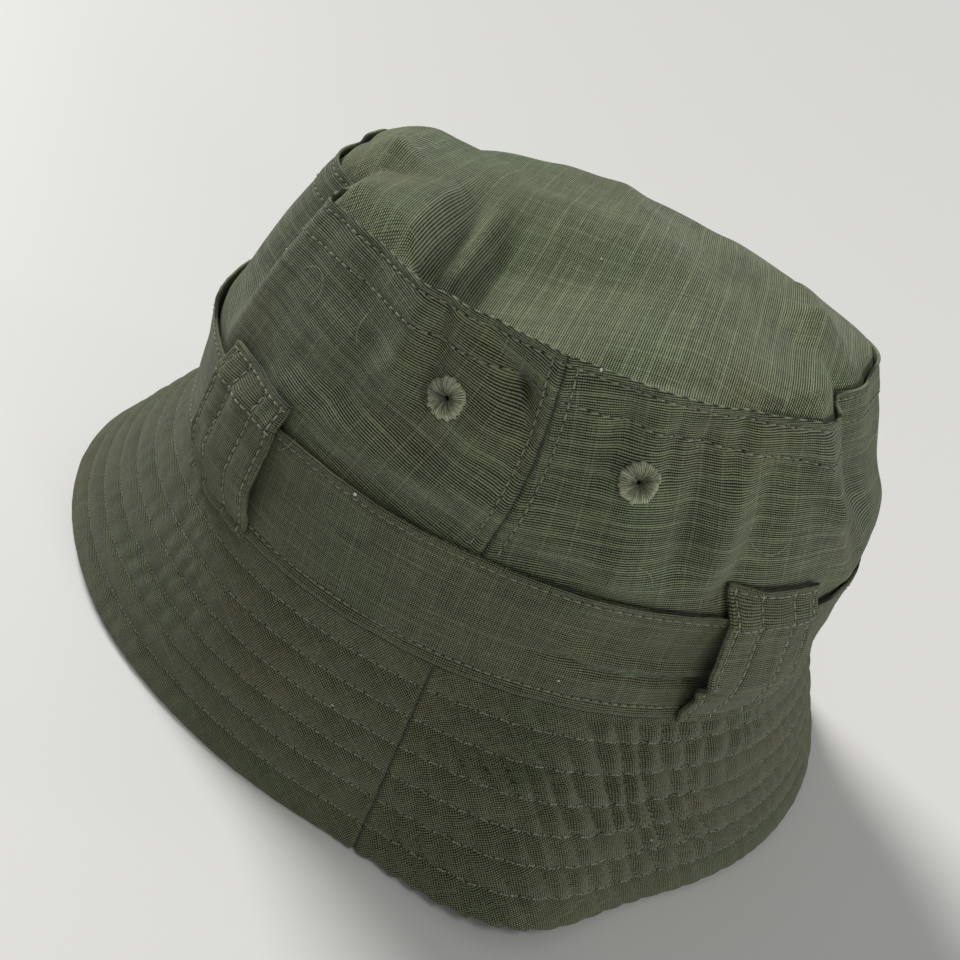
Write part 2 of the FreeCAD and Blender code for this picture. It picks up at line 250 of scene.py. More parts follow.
def wall_half_widths(z):
    """The crown wall's half widths at a height, before its folds."""
    rise = crown_rise(z)
    lower = (z - SEAM_Z) / (BAND_Z - SEAM_Z)
    widths = []
    for axis in (0, 1):
        foot = SEAM[axis] - UNDER_BAND
        bend = foot - BAND_LEAN[axis]
        above = bend + (CROWN[axis] - bend) * rise + 1.2 * np.sin(np.pi * np.clip(rise, 0, 1))
        widths.append(np.where(rise > 0, above, foot - BAND_LEAN[axis] * lower))
    return widths


def wall_folds(turn, rise):
    """How far the folds push the crown wall out."""
    height = CROWN_Z - BAND_Z
    pushed = np.zeros_like(turn)
    for start in (-360.0, 0.0, 360.0):
        folds = [(t0 * TURN_MM, r0 * height, t1 * TURN_MM, r1 * height, width, size)
                 for t0, r0, t1, r1, width, size in WALL_FOLDS]
        pushed += creases((turn + start) * TURN_MM, rise * height, folds)
    wide = round_noise(turn, 17.0, rise * height / 15.0, 3) * 0.55
    fine = round_noise(turn, 6.0, rise * height / 7.0, 4) * 0.08
    taut = 1 - 0.7 * smooth(rise, 0.82, 0.98) * bell(turn, 4, 24)
    return (pushed * taut + wide + fine) * smooth(rise, -0.05, 0.12)


def crown_dip(turn):
    """How far the top seam sinks below its level."""
    ends = 3.2 * bell(turn, -72, 11) + 3.4 * bell(turn, 66, 10)
    away = np.abs((turn + 180.0) % 360.0 - 180.0)
    far = 4.8 * smooth(away, 92, 135) + 0.8 * bell(turn, 150, 20)
    near = 0.9 * bell(turn, 35, 10) + 0.8 * bell(turn, -33, 10)
    return ends + far + near - 0.5 * bell(turn, 0, 8)


def wall(turn, z, relief=0.0):
    """The crown's outside at a turn and height."""
    rise = crown_rise(z)
    x, y = off_oval(wall_half_widths(z), turn, wall_folds(turn, rise) + relief)
    sway = 2.6 * np.sin(np.pi * np.clip(rise, 0, 1)) * bell(turn, 0, 20)
    lift = -crown_dip(turn) * smooth(rise, 0.25, 1.0)
    return np.stack([x, y + sway, z + lift], -1)


def side_flap(turn, table):
    """The seam allowance beside a side seam, its stitches and its groove."""
    arc = np.abs(arc_at(turn, table))
    away = np.minimum(arc, table[-1] - arc)
    flap = 0.40 * (1 - smooth(away, 3.9, 4.9)) - 0.35 * bump(away, SIDE_ROW, 0.5)
    return flap - 0.9 * (1 - smooth(away, 0.0, 1.1))


def wall_welt(turn, z):
    """The allowance under the top seam, sewn down to the wall by two rows."""
    below = CROWN_Z - z
    step = 0.50 * (1 - smooth(below, WALL_ROWS[1] + 0.4, WALL_ROWS[1] + 1.6))
    drawn = -0.42 * bump(below, WALL_ROWS[0], 0.5) - 0.45 * bump(below, WALL_ROWS[1], 0.6)
    lumps = 0.22 * round_noise(turn, 3.6, below / 4.0, 41)
    lumps = lumps * (1 - smooth(below, 8, 12)) * smooth(below, 0.5, 3.0)
    return step + drawn + lumps + 0.25 * (1 - smooth(below, 0.2, 1.6))


def wall_cloth(turn, z):
    """The crown wall's outside with its seams."""
    return wall(turn, z, wall_welt(turn, z) + side_flap(turn, WALL_ARC))


def inside(turn, z, inward):
    """A surface inside the crown, inward of the wall's outside."""
    return wall(turn, z, -inward)


def top_seam(turn):
    """The line where the top panel meets the wall."""
    return wall(turn, np.full_like(turn, CROWN_Z))


def brim_slope(turn):
    """The brim's slope below level, in degrees."""
    across = np.sin(np.radians(turn)) ** 4
    near = 2.3 * bell(turn, -28, 24) - 15.5 * bell(turn, 19.5, 9.5)
    ends = 2.5 * bell(turn, 70, 15) - 5.0 * bell(turn, 112, 12) - 7.5 * bell(turn, -94, 22)
    far = -7.0 * bell(turn, 160, 14) + 1.5 * bell(turn, 185, 15)
    far = far - 9.0 * bell(turn, 222, 13) - 3.0 * bell(turn, 262, 16)
    return 71.0 - 9.0 * across + near + ends + far


def pucker_strength(turn):
    """How strongly the brim's rows of stitching pucker the cloth."""
    near = 1.25 * smooth(turn, 0, 4) * (1 - 0.8 * smooth(turn, 34, 66))
    far = 0.55 * bell(turn, 215, 20) + 0.35 * bell(turn, 140, 16)
    return 0.15 + near + far + 0.12 * bell(turn, -32, 20)


def brim_relief(turn, across):
    """The brim's quilting: drawn in along each row, and roped between rows."""
    arc = arc_at(turn, SEAM_ARC)
    spread = 1.0 + 0.25 * across / BRIM_WIDTH
    channel = sum(smooth(across, row - 0.6, row + 0.6) for row in BRIM_ROWS)
    wander = 0.7 * round_noise(turn, 19.0, across / 24.0, 11) + 0.25 * round_noise(turn, 9.0, channel, 13)
    skew = np.where(turn > 0, 0.9, -0.6)
    phase = (arc * spread - skew * across) / 7.4 + wander
    size = 0.8 + 0.5 * round_noise(turn, 23.0, channel, 12)
    rope = np.abs(np.sin(np.pi * phase)) * 2.0 - 1.25
    drawn = sum(bump(across, row, 0.6) for row in BRIM_ROWS)
    wide = sum(bump(across, row, 1.7) for row in BRIM_ROWS)
    fade = smooth(across, 0.5, 4.0) * (1 - 0.6 * smooth(across, 51, 57)) * (1 - 0.45 * wide)
    fine = 0.09 * round_noise(turn, 3.1, across / 5.0, 14) + 0.3 * round_noise(turn, 26.0, across / 30.0, 15)
    seam = side_flap(turn, SEAM_ARC) * smooth(across, 0, 2)
    return rope * size * pucker_strength(turn) * fade - 0.55 * wide - 0.40 * drawn + fine + seam


def brim(turn, across, inward=0.0):
    """The brim's outside, at a turn and a distance from the head seam."""
    slope = np.radians(brim_slope(turn))
    relief = brim_relief(turn, across) - inward
    x, y = off_oval(SEAM, turn, across * np.cos(slope) + relief * np.sin(slope))
    down = across * np.sin(slope) - relief * np.cos(slope)
    return np.stack([x, y, SEAM_Z - down], -1)


# Folds of the top panel: x, y, to the same, then width and height.
TOP_FOLDS = (
    (69, -29, 56, -30, 7, -4.2), (50, -12, 62, -8, 7, 1.2),
    (43, -63, 8, -64, 6, 3.4), (8, -64, -32, -64, 8, 3),
    (44, 60, 4, 57, 6, 3.4), (4, 57, -24, 54, 8, 2.6),
    (10, -20, -24, 30, 16, 2), (8, 20, 20, 44, 9, 1.2),
    (-40, -40, -20, -25, 9, -1.6), (-45, 20, -20, 28, 8, -1.4),
    (64, 12, 60, 40, 8, -2.6), (-58, -5, -30, 4, 7, 1.4),
)


def dent(x, y):
    """The broad dent in the near part of the top: steep at its front, shallow at its back."""
    brow = 3.2 * smooth(y, -64, -51)
    drop = -10.5 * smooth(y, -46, -35) - 7.0 * smooth(y, -33, -24)
    rise = 1.6 * smooth(y, -36, -32) + 12.7 * smooth(y, -26, 32)
    return (brow + drop + rise) * smooth(x, -10, 28)


def top_panel(turn, share):
    """The top panel's outside, at a turn and a share of the way out to its seam."""
    seam = top_seam(turn)
    x = seam[..., 0] * share
    y = seam[..., 1] * share
    inset = np.hypot(seam[..., 0], seam[..., 1]) * (1 - share)
    near = bell(turn, 0, 42)
    pillow = (2.6 - 1.2 * near) * (1 - np.exp(-inset / 4.5)) + (1.6 + 1.6 * near) * (1 - share ** 2)
    settled = smooth(inset, 0.0, 7.0)
    sunk = crown_dip(turn) * share ** 3
    fine = noise(x / 9.0, y / 9.0, 21) * 0.12 + noise(x / 21.0, y / 17.0, 22) * 0.6
    z = CROWN_Z - sunk + pillow + settled * (creases(x, y, TOP_FOLDS) + dent(x, y) + fine)
    tucked = (2.2 - 0.8 * near) * (1 - smooth(inset, 0.3, 2.6 + 5.0 * near))
    return np.stack([x, y, z - tucked], -1)


def band_out(turn, z):
    """How far the band stands off the crown wall."""
    top = smooth(z, BAND_Z - 14, BAND_Z)
    loose = 0.7 + 0.5 * round_noise(turn, 20.0, z * 0, 31)
    buckle_line = BUCKLE_Z + 2.0 * round_noise(turn, 8.0, z * 0, 32)
    where = smooth(turn, 8, 17) * (1 - smooth(turn, 37, 41)) + 0.5 * bell(turn, 205, 12)
    buckle = 1.3 * bump(z, buckle_line + 2.2, 1.7) - 1.5 * bump(z, buckle_line - 1.6, 1.3)
    ridge = 0.75 * bump(z, SEAM_Z + 1.5, 1.2) - 0.35 * bump(z, SEAM_Z + 3.6, 0.7)
    edge = 0.25 * bump(z, BAND_Z - 0.8, 0.6) - 0.2 * bump(z, BAND_Z - 2.2, 0.5)
    fine = 0.22 * round_noise(turn, 6.0, z / 6.0, 33) + 0.1 * round_noise(turn, 2.2, z / 3.0, 34)
    return UNDER_BAND + top * loose + where * buckle + ridge + edge + fine


def band(turn, z):
    """The band's outside at a turn and height."""
    x, y = off_oval(wall_half_widths(z), turn, band_out(turn, z))
    return np.stack([x, y, z], -1)


# ---- meshes

def grid_normals(points):
    """The outward normal at each point of a grid."""
    round_hat = np.gradient(points, axis=0)
    upward = np.gradient(points, axis=1)
    normal = np.cross(round_hat, upward)
    return normal / np.maximum(np.linalg.norm(normal, axis=-1, keepdims=True), 1e-9)


def weld(data):
    """Join points that lie on each other, where a ring of cloth closes."""
    shell = bmesh.new()
    shell.from_mesh(data)
    bmesh.ops.remove_doubles(shell, verts=shell.verts, dist=1e-7)
    shell.to_mesh(data)
    shell.free()


def place_object(name, data):
    """A new object in the scene."""
    placed = bpy.data.objects.new(name, data)
    SCENE.collection.objects.link(placed)
    return placed


def make_mesh(name, points, faces, uvs, material, node=None, slot=None):
    """A smooth mesh object that rides on the hat."""
    data = bpy.data.meshes.new(name)
    faces = faces if isinstance(faces, list) else faces.tolist()
    data.from_pydata((points * MM).tolist(), [], faces)
    if uvs is not None:
        layer = data.uv_layers.new(name="cloth")
        corners = np.empty(len(data.loops), dtype=np.int32)
        data.loops.foreach_get("vertex_index", corners)
        layer.data.foreach_set("uv", np.asarray(uvs, dtype=np.float32)[corners].ravel())
        weld(data)
    data.shade_smooth()
    data.materials.append(material)
    piece = place_object(name, data)
    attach(piece, "root")
    if node:
        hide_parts(node)
    return piece


def grid_faces(rows, columns):
    """The quads of a grid of points."""
    index = np.arange(rows * columns).reshape(rows, columns)
    quads = np.stack([index[:-1, :-1], index[1:, :-1], index[1:, 1:], index[:-1, 1:]], -1)
    return quads.reshape(-1, 4)


def rim_edges(faces, count):
    """The edges that only one face has, each in that face's direction."""
    start = faces.ravel()
    end = np.roll(faces, -1, axis=1).ravel()
    lone = ~np.isin(start * count + end, end * count + start)
    return start[lone], end[lone]


def cloth_shell(outer, thickness, uv, ring=False, holes=()):
    """A closed ply of cloth under a grid of outside points: points, faces and uvs.

    In a ring, the last row lies on the first. Holes are (centre, radius).
    """
    rows, columns = outer.shape[:2]
    padded = np.concatenate([outer[-2:-1], outer, outer[1:2]]) if ring else outer
    normals = grid_normals(padded)
    normals = normals[1:-1] if ring else normals
    inner = outer - normals * thickness
    count = rows * columns
    faces = grid_faces(rows, columns)
    points = outer.reshape(-1, 3)
    for centre, radius in holes:
        away = np.linalg.norm(points[faces].mean(1) - centre, axis=1)
        faces = faces[away > radius]
    start, end = rim_edges(faces, count)
    if ring:
        first = (start < columns) & (end < columns)
        last = (start >= count - columns) & (end >= count - columns)
        start = start[~(first | last)]
        end = end[~(first | last)]
    rim = np.stack([end, start, start + count, end + count], -1)
    faces = np.concatenate([faces, faces[:, ::-1] + count, rim])
    points = np.concatenate([points, inner.reshape(-1, 3)])
    return points, faces, np.concatenate([uv.reshape(-1, 2)] * 2)


def flat_cut(arc, slant, apex):
    """Where a point of a cone-shaped panel lies on its flat cut."""
    angle = arc / apex
    radius = apex + slant
    return np.stack([radius * np.sin(angle), radius * np.cos(angle)], -1)


def steps(low, high, spacing):
    """Even values, about a spacing apart, from low to high."""
    return np.linspace(low, high, max(2, int(round((high - low) / spacing)) + 1))


def steps_round_rows(low, high, spacing, rows):
    """Steps that are closer together at rows of stitches."""
    fine = np.array([row + away for row in rows for away in (-1.0, -0.5, 0.0, 0.5, 1.0)])
    coarse = steps(low, high, spacing)
    clear = np.abs(coarse[:, None] - fine).min(1) > 0.45 * spacing
    clear[[0, -1]] = True
    fine = fine[(fine > low + 0.3) & (fine < high - 0.3)]
    return np.sort(np.concatenate([coarse[clear], fine]))


def steps_round_hat(spacing, table, low=-180.0, high=180.0):
    """Evenly spaced turns from low to high, closer together at the side seams."""
    low_arc = arc_at(low, table)
    high_arc = arc_at(high, table)
    rows = [seam + away for seam in (table[0], 0.0, table[-1]) for away in (-SIDE_ROW, -0.3, 0.3, SIDE_ROW)]
    arcs = steps_round_rows(low_arc, high_arc, spacing, rows)
    return np.interp(arcs, table, FINE_TURNS)


HALVES = {"front": (-180.0, 0.0), "back": (0.0, 180.0)}


# ---- materials

class Field:
    """A value in a node tree. Arithmetic on it adds Math nodes."""

    def __init__(self, tree, socket):
        self.tree = tree
        self.socket = socket

    def apply(self, operation, *others):
        node = self.tree.nodes.new("ShaderNodeMath")
        node.operation = operation
        for slot_number, value in enumerate((self,) + others):
            if isinstance(value, Field):
                self.tree.links.new(value.socket, node.inputs[slot_number])
            else:
                node.inputs[slot_number].default_value = value
        return Field(self.tree, node.outputs[0])

    def __add__(self, other):
        return self.apply("ADD", other)

    def __sub__(self, other):
        return self.apply("SUBTRACT", other)

    def __mul__(self, other):
        return self.apply("MULTIPLY", other)

    def wave(self, pitch):
        """A sine from -1 to 1 with a pitch."""
        return (self * (2 * pi / pitch)).apply("SINE")

    def line(self, pitch, width):
        """1 on a thin line every pitch, and 0 between lines."""
        from_line = (self * (1 / pitch)).apply("FRACT").apply("SUBTRACT", 0.5).apply("ABSOLUTE")
        above = from_line.apply("SUBTRACT", 0.5 - width / pitch)
        return above.apply("MULTIPLY", pitch / width).apply("MAXIMUM", 0.0)


def cloth_coordinates(tree):
    """The cloth's flat coordinates, along the weft and the warp."""
    source = tree.nodes.new("ShaderNodeUVMap")
    source.uv_map = "cloth"
    split = tree.nodes.new("ShaderNodeSeparateXYZ")
    tree.links.new(source.outputs[0], split.inputs[0])
    return Field(tree, split.outputs[0]), Field(tree, split.outputs[1])


def noise_field(u, v, size_u, size_v, detail, lift):
    """Noise about 0 in the cloth's coordinates, with a grain size along each."""
    tree = u.tree
    join = tree.nodes.new("ShaderNodeCombineXYZ")
    tree.links.new((u * (1 / size_u)).socket, join.inputs[0])
    tree.links.new((v * (1 / size_v)).socket, join.inputs[1])
    join.inputs[2].default_value = lift
    texture = tree.nodes.new("ShaderNodeTexNoise")
    set_inputs(texture, {"Scale": 1.0, "Detail": detail})
    tree.links.new(join.outputs[0], texture.inputs["Vector"])
    return Field(tree, texture.outputs[0]) - 0.5


def tone(field, stops):
    """A colour ramp read at a field from 0 to 1: stops are (place, colour)."""
    ramp = field.tree.nodes.new("ShaderNodeValToRGB")
    elements = ramp.color_ramp.elements
    for element, (place, colour) in zip(elements, (stops[0], stops[-1])):
        element.position = place
        element.color = (*colour, 1)
    for place, colour in stops[1:-1]:
        elements.new(place).color = (*colour, 1)
    field.tree.links.new(field.socket, ramp.inputs[0])
    return ramp.outputs[0]


def set_inputs(node, values):
    """Set a node's inputs by name."""
    for name, value in values.items():
        node.inputs[name].default_value = value


def add_bump(shader, height, strength, depth):
    """Raise a shader's surface by a height from 0 to 1, to a depth in millimetres."""
    raised = height.tree.nodes.new("ShaderNodeBump")
    set_inputs(raised, {"Strength": strength, "Distance": depth * MM})
    height.tree.links.new(height.socket, raised.inputs["Height"])
    height.tree.links.new(raised.outputs[0], shader.inputs["Normal"])


def new_material(name):
    """A material with an empty node tree but for its shader."""
    material = bpy.data.materials.new(name)
    material.use_nodes = True
    return material, material.node_tree, material.node_tree.nodes["Principled BSDF"]


def shade(colour, factor):
    """A colour made lighter or darker."""
    return tuple(channel * factor for channel in colour)


def cloth_material(name, colour, rib=1.0, worn=1.0, grid=1.0, uneven=0.5):
    """Ripstop cotton: a plain weave with slubs, and a grid of thicker yarns."""
    material, tree, shader = new_material(name)
    u, v = cloth_coordinates(tree)
    across = u + noise_field(u, v, 60, 50, 0, 1) * 2.0
    up = v + noise_field(u, v, 60, 50, 0, 2) * 2.0
    weft = up.wave(0.56)
    warp = across.wave(0.60)
    weave = weft * (0.35 + 0.65 * rib) + warp * (0.75 - 0.5 * rib) + weft * warp * 0.5
    cords = up.line(5.3, 0.5) + across.line(5.9, 0.45) * 0.75
    weft_yarns = noise_field(u, up, 9, 0.55, 0, 8)
    warp_yarns = noise_field(across, v, 0.6, 8, 0, 9)
    weft_slubs = noise_field(u, up, 22, 1.2, 0, 3)
    warp_slubs = noise_field(across, v, 1.3, 18, 0, 4)
    slubs = (weft_slubs + weft_yarns) * (0.55 + 0.45 * rib) + (warp_slubs + warp_yarns) * (0.8 - 0.35 * rib)
    fuzz = noise_field(u, v, 0.7, 0.7, 2, 5)
    broad = noise_field(u, v, 17, 10, 3, 6)
    height = weave * 0.7 + cords * (0.6 * grid) + slubs * uneven + fuzz * 0.4
    value = weave * 0.72 + cords * (0.30 * grid) + slubs * uneven + fuzz * 0.8 + broad * (0.4 * worn) + 0.47
    stops = ((0.0, shade(colour, 0.12)), (0.5, shade(colour, 0.95)), (1.0, shade(colour, 2.15)))
    fade = noise_field(u, v, 45, 30, 1, 7) * 1.6 + 0.5
    blend = tree.nodes.new("ShaderNodeMix")
    blend.data_type = "RGBA"
    blend.blend_type = "MULTIPLY"
    blend.inputs["Factor"].default_value = 1.0
    tree.links.new(tone(value, stops), blend.inputs["A"])
    tints = ((0.1, (1.05, 0.985, 0.95)), (0.5, (1.0, 1.0, 1.0)), (0.9, (0.93, 1.0, 0.95)))
    tree.links.new(tone(fade, tints), blend.inputs["B"])
    tree.links.new(blend.outputs["Result"], shader.inputs["Base Color"])
    set_inputs(shader, {"Roughness": 0.92, "Specular IOR Level": 0.15})
    set_inputs(shader, {"Sheen Weight": 0.14, "Sheen Roughness": 0.5})
    add_bump(shader, height, 1.0, 0.10)
    return material


def thread_material(name, colour):
    """Sewing thread, its colour a little uneven."""
    material, tree, shader = new_material(name)
    place = tree.nodes.new("ShaderNodeTexCoord")
    texture = tree.nodes.new("ShaderNodeTexNoise")
    set_inputs(texture, {"Scale": 900.0, "Detail": 2.0})
    tree.links.new(place.outputs["Object"], texture.inputs["Vector"])
    value = Field(tree, texture.outputs[0])
    stops = ((0.25, shade(colour, 0.6)), (0.75, shade(colour, 1.4)))
    tree.links.new(tone(value, stops), shader.inputs["Base Color"])
    set_inputs(shader, {"Roughness": 0.75, "Sheen Weight": 0.15})
    add_bump(shader, value, 0.5, 0.05)
    return material


def eyelet_material(name, colour):
    """Close radial threads: u counts the threads and v is the radius."""
    material, tree, shader = new_material(name)
    u, v = cloth_coordinates(tree)
    # Painted shade: the gaps between threads (between) are darkened to stand for the shade between the
    # threads. The colour also grows lighter as the radius v grows.
    between = (u.apply("FRACT") - 0.5).apply("ABSOLUTE") * 2.0
    own = noise_field(u.apply("FLOOR"), v, 0.37, 90, 0, 3)
    strands = noise_field(u, v, 0.3, 1.2, 2, 4)
    value = between.apply("POWER", 3.0) * -0.5 + own + strands * 1.3 + v * 0.11 + 0.15
    stops = ((0.0, shade(colour, 0.10)), (0.5, colour), (1.0, shade(colour, 1.7)))
    tree.links.new(tone(value, stops), shader.inputs["Base Color"])
    set_inputs(shader, {"Roughness": 0.7, "Sheen Weight": 0.15})
    add_bump(shader, value, 0.8, 0.08)
    return material


CROWN_COLOUR = (0.110, 0.128, 0.074)
BRIM_COLOUR = (0.100, 0.110, 0.061)
CROWN_CLOTH = cloth_material("crown ripstop", CROWN_COLOUR, uneven=0.55)
# The top's cloth is a lit copy of the crown colour, 1.45 times lighter: painted light for the light that
# falls on the top.
TOP_CLOTH_PAINTED_LIGHT = cloth_material("top ripstop painted lighter", shade(CROWN_COLOUR, 1.45), rib=0.7, grid=0.8, uneven=0.35)
BRIM_CLOTH = cloth_material("brim ripstop", BRIM_COLOUR, rib=0.45, grid=0.35, uneven=0.15)
BAND_CLOTH = cloth_material("band ripstop", BRIM_COLOUR, rib=0.6, grid=0.6, uneven=0.3)
LINING_CLOTH = cloth_material("lining cotton", shade(BRIM_COLOUR, 0.9), rib=0.5)
TAPE_CLOTH = cloth_material("binding tape", shade(CROWN_COLOUR, 0.8), rib=0.9)
FELT_CLOTH = cloth_material("brim interlining", (0.55, 0.54, 0.5), rib=0.3)
LABEL_CLOTH = cloth_material("blank label", (0.62, 0.62, 0.58), rib=0.4, worn=0.4)
SEAM_THREAD = thread_material("olive thread", (0.175, 0.19, 0.12))
BRIM_THREAD = thread_material("dull olive thread", (0.215, 0.225, 0.150))
# The needle hole colour is painted shade: a near-black for the flat lenses that stand for the shade in the
# pits between stitches.
NEEDLE_HOLE_SHADE = thread_material("needle hole", (0.018, 0.020, 0.012))
EYELET_THREAD = eyelet_material("eyelet thread", (0.275, 0.297, 0.190))
LINT = thread_material("pale lint", (0.62, 0.62, 0.52))
HAIR = thread_material("pale hair", (0.34, 0.35, 0.27))


# ---- cloth pieces

EDGE_ROLL = 1.3  # radius of the brim's turned edge
HEM = 3.0  # how far the turned edge runs back under the brim
HOLE_RADIUS = 2.0  # punched through the wall inside an eyelet
LABEL_HALF = 10.3  # half the label's width, in degrees
ALLOWANCE = 2.0  # cloth turned in along a seam
WALL_APEX = 700.0  # radius of the top seam on the wall's flat cut
BRIM_APEX = 233.0  # radius of the head seam on the brim's flat cut
TOP_TILT = 87.0  # how far the top's weave is turned
TOP_SPOKES = 421  # points round each ring of the top
TAPE_HALF = 3.3  # half a side seam tape's width, in degrees
LEAST_SHEET = 10.0  # a narrower strip is a tape, not a sheet


def sewn(width, length, area=None):
    """A sheet that is held by its seams: its flat size, given in millimetres, is worked out in metres but
    not kept.
    """
    flat = (width * MM, length * MM)
    area and area * MM * MM


def sewn_brim(width):
    """The flat size of a ply of half the brim, passed to sewn(): its flat cut is a sector of a ring of a
    width.
    """
    half_angle = arc_at(90.0, SEAM_ARC) / BRIM_APEX
    outer = BRIM_APEX + width
    depth = outer - BRIM_APEX * cos(half_angle)
    area = half_angle * (outer ** 2 - BRIM_APEX ** 2)
    sewn(depth, 2 * outer * sin(half_angle), area)


def surface_normal(surface, turn, level, side=1.0):
    """A surface's outward normal at turns and levels."""
    here = surface(turn, level)
    round_hat = surface(turn + 0.3, level) - here
    upward = surface(turn, level + 0.4) - here
    return unit(side * np.cross(round_hat, upward))


def cloth_piece(node, shell, material, slot):
    """A ply of cloth in place of a frame node."""
    return make_mesh(f"{node}_cloth", *shell, material, node, slot)


def half_grid(half, levels, spacing, table):
    """A grid over half the hat: turns, levels, and distances round from the half's middle."""
    low, high = HALVES[half]
    turn, level = np.meshgrid(steps_round_hat(spacing, table, low, high), levels, indexing="ij")
    return turn, level, arc_at(turn, table) - arc_at((low + high) / 2, table)


def eyelet_centres():
    """The middle of each eyelet on the wall."""
    turns = np.array(list(EYELET_TURNS.values()))
    return wall_cloth(turns, np.full_like(turns, EYELET_Z))


def make_wall(half):
    """Half the crown's wall."""
    rows = [CROWN_Z - row for row in WALL_ROWS]
    levels = steps_round_rows(SEAM_Z + 0.3, CROWN_Z, RISE_STEP, rows)
    turn, z, arc = half_grid(half, levels, ARC_STEP, WALL_ARC)
    holes = [(place, HOLE_RADIUS) for place in eyelet_centres()]
    shell = cloth_shell(wall_cloth(turn, z), CLOTH, flat_cut(arc, CROWN_Z - z, WALL_APEX), holes=holes)
    piece = cloth_piece(f"crown_wall_{half}", shell, CROWN_CLOTH, "crown_cloth")
    sewn(CROWN_Z - SEAM_Z + 2 * ALLOWANCE, 2 * arc_at(90.0, WALL_ARC))


def make_top():
    """The top panel, a grid of rings closed by a fan at its middle."""
    turns = np.linspace(-180.0, 180.0, TOP_SPOKES)
    shares = np.concatenate([np.linspace(0.01, 0.9, 64)[:-1], np.linspace(0.9, 1.0, 20)])
    turn, share = np.meshgrid(turns, shares[::-1], indexing="ij")
    outside = top_panel(turn, share)
    x = outside[..., 0]
    y = outside[..., 1]
    weft = cos(radians(TOP_TILT)), sin(radians(TOP_TILT))
    uv = np.stack([y * weft[0] - x * weft[1], x * weft[0] + y * weft[1]], -1)
    points, faces, uvs = cloth_shell(outside, CLOTH, uv, ring=True)
    columns = len(shares)
    middle = np.arange(1, len(turns) + 1) * columns - 1
    count = len(points) // 2
    inner_rim = np.isin(faces, middle).sum(1) + np.isin(faces, middle + count).sum(1) == 4
    faces = faces[~inner_rim].tolist()
    for offset, order in ((0, 1), (count, -1)):
        ends = (middle + offset).tolist()
        faces += [(a, b, ends[0])[::order] for a, b in zip(ends[1:-2], ends[2:-1])]
    piece = cloth_piece("crown_top", (points, faces, uvs), TOP_CLOTH_PAINTED_LIGHT, "crown_cloth")
    area = pi * (CROWN[0] + ALLOWANCE / 2) * (CROWN[1] + ALLOWANCE / 2)
    sewn(2 * CROWN[0] + ALLOWANCE, 2 * CROWN[1] + ALLOWANCE, area)


def make_brim_half(half):
    """The outside ply of half the brim, rolled under at its edge."""
    levels = steps_round_rows(0.0, BRIM_WIDTH - EDGE_ROLL, RISE_STEP, BRIM_ROWS)[::-1]
    turn, across, arc = half_grid(half, levels, ARC_STEP, SEAM_ARC)
    points = brim(turn, across)
    normal = grid_normals(points)[:, :1]
    outward = unit(points[:, :1] - points[:, 1:2])
    middle = points[:, :1] - normal * EDGE_ROLL
    angles = np.linspace(180.0, 18.0, 10)
    backs = steps(HEM, 0.6, 0.8)
    rolled = []
    for angle in np.radians(angles):
        rolled.append(middle + EDGE_ROLL * (normal * cos(angle) + outward * sin(angle)))
    under = [rolled[0] - outward * back for back in backs]
    points = np.concatenate(under + rolled + [points], axis=1)
    turned = np.concatenate([backs + np.pi * EDGE_ROLL, EDGE_ROLL * np.radians(angles)])
    slant = np.concatenate([np.tile(BRIM_WIDTH - EDGE_ROLL + turned, (len(turn), 1)), across], 1)
    arc = np.repeat(arc[:, :1], points.shape[1], axis=1)
    shell = cloth_shell(points, CLOTH, flat_cut(arc, slant, BRIM_APEX))
    piece = cloth_piece(f"brim_upper_{half}", shell, BRIM_CLOTH, "brim_cloth")
    sewn_brim(BRIM_WIDTH + HEM + ALLOWANCE)


def make_brim_ply(half, kind, inward, material, slot, spacing):
    """An inner ply of half the brim."""
    levels = steps(0.3, BRIM_WIDTH - 2.2, spacing)[::-1]
    turn, across, arc = half_grid(half, levels, spacing, SEAM_ARC)
    shell = cloth_shell(brim(turn, across, inward), CLOTH, flat_cut(arc, across, BRIM_APEX))
    piece = cloth_piece(f"brim_{kind}_{half}", shell, material, slot)
    sewn_brim(BRIM_WIDTH - 2)


def make_band():
    """The band, one strip round the foot of the crown."""
    levels = steps_round_rows(SEAM_Z + 0.2, BAND_Z, 0.7, BAND_ROWS)
    turn, z = np.meshgrid(steps_round_hat(ARC_STEP, SEAM_ARC), levels, indexing="ij")
    uv = np.stack([arc_at(turn, SEAM_ARC), z], -1)
    shell = cloth_shell(band(turn, z), CLOTH, uv, ring=True)
    piece = cloth_piece("hat_band", shell, BAND_CLOTH, "band_cloth")
    sewn(BAND_Z - SEAM_Z, 4 * arc_at(90.0, SEAM_ARC))


def loop_surface(middle):
    """A strap loop's outside: a function of the distance from its middle and the height."""
    def surface(across, z):
        turn = np.interp(arc_at(middle, SEAM_ARC) + across, SEAM_ARC, FINE_TURNS)
        stand_off = np.interp(z - LOOP_FOOT, *LOOP_BOW)
        on_band = band_out(turn, np.minimum(z, BAND_Z)) + 0.2
        base = np.where(z > BAND_Z, np.maximum(0.5, on_band - 0.45 * (z - BAND_Z)), on_band)
        seams = sum(bump(across, row, 0.6) for row in LOOP_ROWS) * smooth(LOOP_TOP - z, 0.3, 2.5)
        seams = seams + 0.5 * sum(bump(LOOP_TOP - z, below, 0.5) for below in LOOP_LEVELS)
        edge = 1 - smooth(LOOP_WIDTH / 2 - np.abs(across), 0.0, 0.7)
        rough = 0.35 * noise(across / 4.9 + middle, z / 6.1, 51)
        rough = rough + 0.12 * noise(across / 1.9, z / 2.3 + middle, 52)
        out = base + stand_off + LOOP_PLY - 0.42 * np.minimum(seams, 1.0) - 0.35 * edge + rough
        x, y = off_oval(wall_half_widths(z), turn, out + wall_folds(turn, crown_rise(z)))
        return np.stack([x, y, z + 0 * x], -1)
    return surface


